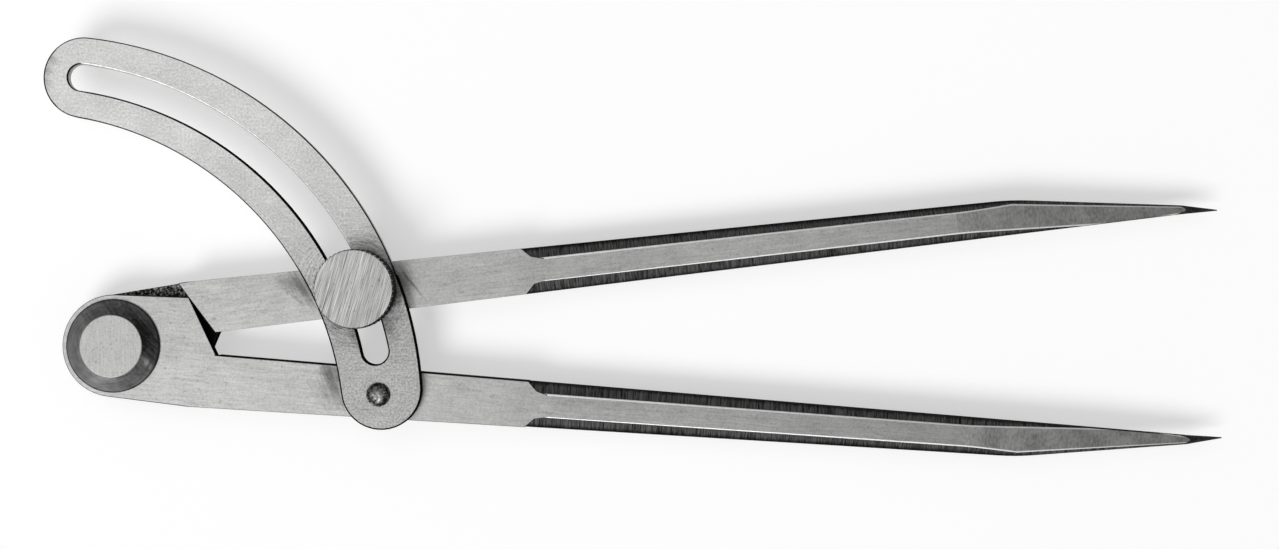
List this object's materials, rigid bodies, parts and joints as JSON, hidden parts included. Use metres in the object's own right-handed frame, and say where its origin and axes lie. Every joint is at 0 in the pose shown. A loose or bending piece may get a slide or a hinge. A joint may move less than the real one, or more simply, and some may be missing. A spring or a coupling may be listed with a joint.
{
  "type": "bow divider",
  "caption": "Flat steel wing divider: two pointed legs lapped on one hinge, locked by a slotted arc and a knurled thumb screw.",
  "frame": {"origin": "on the hinge axis, at the flat underside of the rear hinge washer that the divider lies on", "axes": "+Z along the hinge axis towards the arc and the thumb screw, +X halves the angle between the legs and points at the tips, +Y towards the upper leg and the arc's free end"},
  "size_m": [0.2519, 0.0937, 0.0167],
  "materials": {
    "leg_steel": "ground flat bar, grinding lines along the leg, darker milled bevels",
    "arc_steel": "satin plate, lightly scratched",
    "hinge_steel": "turned flank, brushed flat face",
    "rivet_steel": "dark hammered dome",
    "screw_steel": "knurled rim, coarse ground top"
  },
  "bodies": {
    "lower_leg": {"lower_leg": "leg_steel", "hinge_pin": "hinge_steel", "front_hinge_washer": "hinge_steel", "rear_hinge_washer": "hinge_steel", "arc_rivet": "rivet_steel"},
    "upper_leg": {"upper_leg": "leg_steel"},
    "arc": {"slotted_arc": "arc_steel"},
    "thumb_screw": {"thumb_screw": "screw_steel"}
  },
  "joints": [
    {"name": "leg_hinge", "type": "hinge", "parent": "lower_leg", "child": "upper_leg", "pos_m": [0, 0, 0.005], "axis": [0, 0, 1], "range_deg": [-11.7, 51.4]},
    {"name": "arc_swing", "type": "hinge", "parent": "lower_leg", "child": "arc", "pos_m": [0.0571, -0.01141, 0.0095], "axis": [0, 0, 1], "range_deg": [-4, 4]},
    {"name": "screw_turn", "type": "hinge", "parent": "upper_leg", "child": "thumb_screw", "pos_m": [0.05303, 0.01124, 0.0135], "axis": [0, 0, 1], "range_deg": [0, 360]}
  ],
  "couplings": [
    {"joint": "arc_swing", "follows": "leg_hinge", "ratio": -0.0668}
  ]
}
